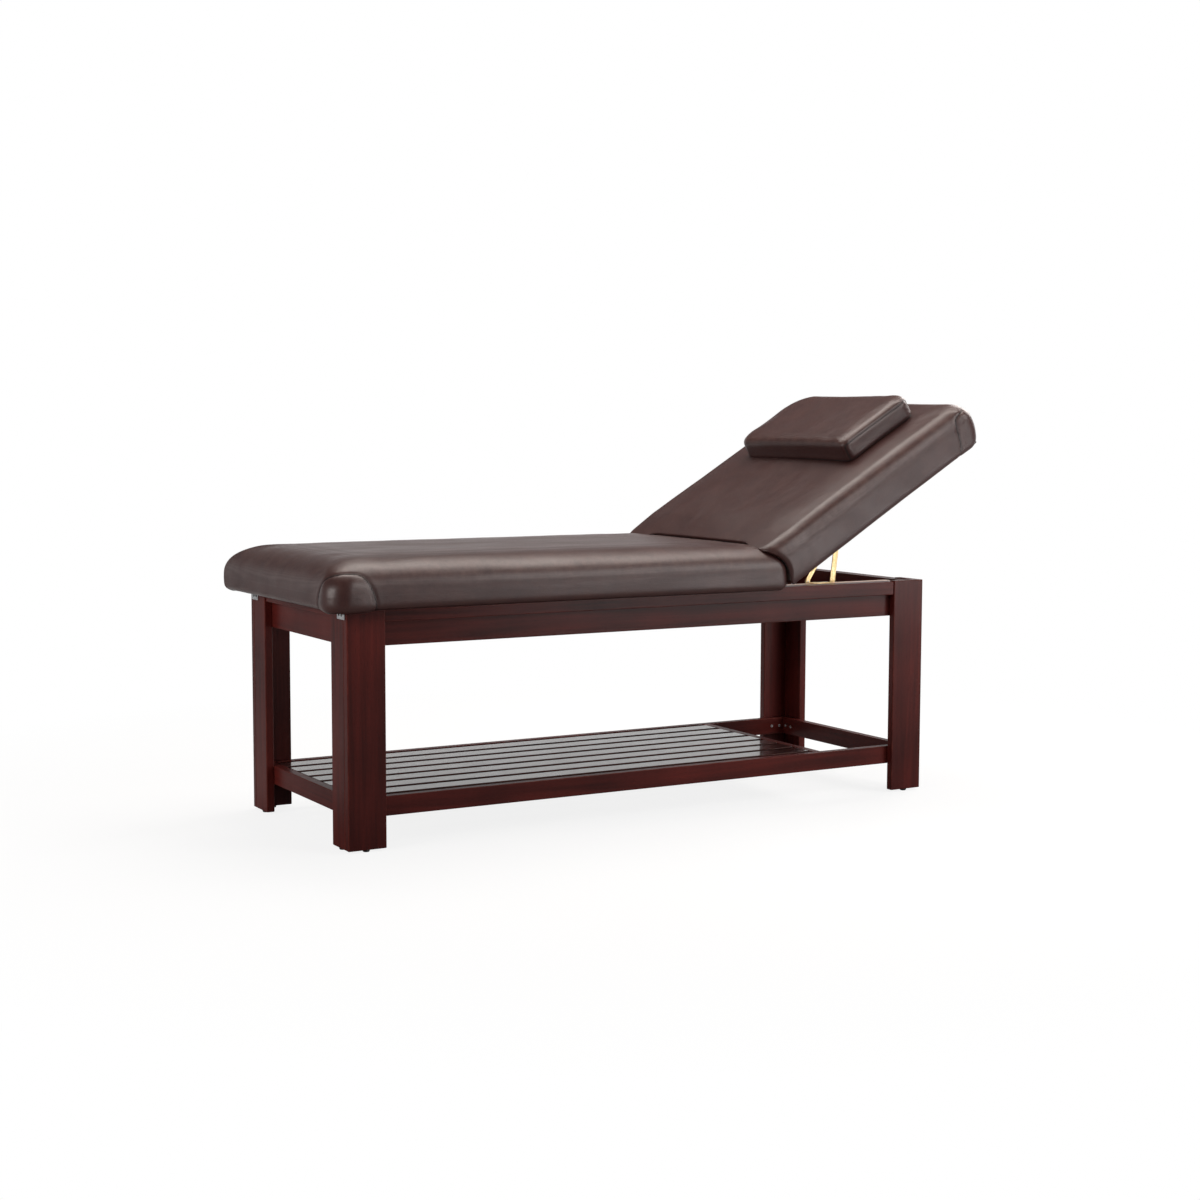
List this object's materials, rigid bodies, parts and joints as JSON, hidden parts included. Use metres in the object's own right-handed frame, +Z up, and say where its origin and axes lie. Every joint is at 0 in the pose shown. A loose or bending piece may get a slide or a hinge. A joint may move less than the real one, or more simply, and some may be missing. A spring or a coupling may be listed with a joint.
{
  "type": "facial bed",
  "caption": "Wooden facial bed: fixed leg cushion, backrest that tilts on folding steel arms, loose head pillow, slatted shelf between the legs.",
  "frame": {"origin": "on the floor under the centre of the bed's outline, from the foot end of the leg cushion to the head end of the raised backrest", "axes": "+X along the bed from the foot end to the head end, +Y across the bed away from the near side of the picture, +Z up"},
  "size_m": [1.8334, 0.703, 1.0345],
  "materials": {
    "mahogany_lacquer": "satin",
    "pale_edge": "satin",
    "shelf_lacquer": "gloss",
    "plywood": "matte",
    "beech_dowel": "matte",
    "brown_upholstery": "satin",
    "foam_core": "matte",
    "yellow_zinc": "satin",
    "bright_zinc": "satin",
    "black_glide": "matte"
  },
  "bodies": {
    "bed_frame": {"leg_foot_near_side": "mahogany_lacquer", "leg_foot_near_end": "mahogany_lacquer", "leg_foot_far_side": "mahogany_lacquer", "leg_foot_far_end": "mahogany_lacquer", "leg_head_near_side": "mahogany_lacquer", "leg_head_near_end": "mahogany_lacquer", "leg_head_far_side": "mahogany_lacquer", "leg_head_far_end": "mahogany_lacquer", "glides": "black_glide", "upper_rail_near": "mahogany_lacquer", "upper_rail_far": "mahogany_lacquer", "upper_rail_foot": "mahogany_lacquer", "upper_rail_head": "mahogany_lacquer", "band_near": "mahogany_lacquer", "band_far": "mahogany_lacquer", "band_foot": "mahogany_lacquer", "band_head": "mahogany_lacquer", "cleat_near": "pale_edge", "cleat_far": "pale_edge", "hinge_beam": "mahogany_lacquer", "cross_beams": "mahogany_lacquer", "shelf_rail_near": "mahogany_lacquer", "shelf_rail_far": "mahogany_lacquer", "shelf_rail_foot": "mahogany_lacquer", "shelf_rail_head": "mahogany_lacquer", "shelf_cross_rail": "mahogany_lacquer", "shelf_bearers": "mahogany_lacquer", "shelf_slats_near": "shelf_lacquer", "shelf_slats_far": "shelf_lacquer", "dowels": "beech_dowel", "frame_screws": "bright_zinc", "fitting_screws": "bright_zinc", "foot_board": "plywood", "foot_foam": "foam_core", "foot_cushion": "brown_upholstery", "foot_brackets": "bright_zinc", "hinge_brackets": "yellow_zinc", "hinge_pins": "bright_zinc", "arm_brackets": "yellow_zinc", "arm_pivots": "bright_zinc", "stay_brackets": "yellow_zinc"},
    "backrest": {"hinge_straps": "yellow_zinc", "back_board": "plywood", "back_foam": "foam_core", "back_cushion": "brown_upholstery", "rest_blocks": "mahogany_lacquer", "arm_tracks": "yellow_zinc", "stay_tracks": "yellow_zinc", "back_screws": "bright_zinc"},
    "near_arm": {"arm_near": "yellow_zinc", "arm_pin_near": "bright_zinc"},
    "far_arm": {"arm_far": "yellow_zinc", "arm_pin_far": "bright_zinc"},
    "near_stay": {"stay_near": "yellow_zinc", "stay_pin_near": "bright_zinc"},
    "far_stay": {"stay_far": "yellow_zinc", "stay_pin_far": "bright_zinc"},
    "pillow": {"pillow_cover": "brown_upholstery", "pillow_base": "brown_upholstery", "pillow_foam": "foam_core"}
  },
  "joints": [
    {"name": "backrest_tilt", "type": "hinge", "parent": "bed_frame", "child": "backrest", "pos_m": [0.31535, 0, 0.545], "axis": [0, -1, 0], "range_deg": [-31, 14]},
    {"name": "near_arm_swing", "type": "hinge", "parent": "bed_frame", "child": "near_arm", "pos_m": [0.50992, -0.2305, 0.47148], "axis": [0, -1, 0], "range_deg": [-62, 28]},
    {"name": "far_arm_swing", "type": "hinge", "parent": "bed_frame", "child": "far_arm", "pos_m": [0.50992, 0.2305, 0.47148], "axis": [0, -1, 0], "range_deg": [-62, 28]},
    {"name": "near_stay_swing", "type": "hinge", "parent": "bed_frame", "child": "near_stay", "pos_m": [0.44685, -0.22225, 0.55651], "axis": [0, -1, 0], "range_deg": [-62, 28]},
    {"name": "far_stay_swing", "type": "hinge", "parent": "bed_frame", "child": "far_stay", "pos_m": [0.44685, 0.22225, 0.55651], "axis": [0, -1, 0], "range_deg": [-62, 28]},
    {"name": "pillow_lift", "type": "slide", "parent": "backrest", "child": "pillow", "axis": [-0.515, 0, 0.8572], "range_m": [0, 0.2]}
  ],
  "couplings": [
    {"joint": "near_arm_swing", "follows": "backrest_tilt", "ratio": 2},
    {"joint": "far_arm_swing", "follows": "backrest_tilt", "ratio": 2},
    {"joint": "near_stay_swing", "follows": "backrest_tilt", "ratio": 2},
    {"joint": "far_stay_swing", "follows": "backrest_tilt", "ratio": 2}
  ]
}
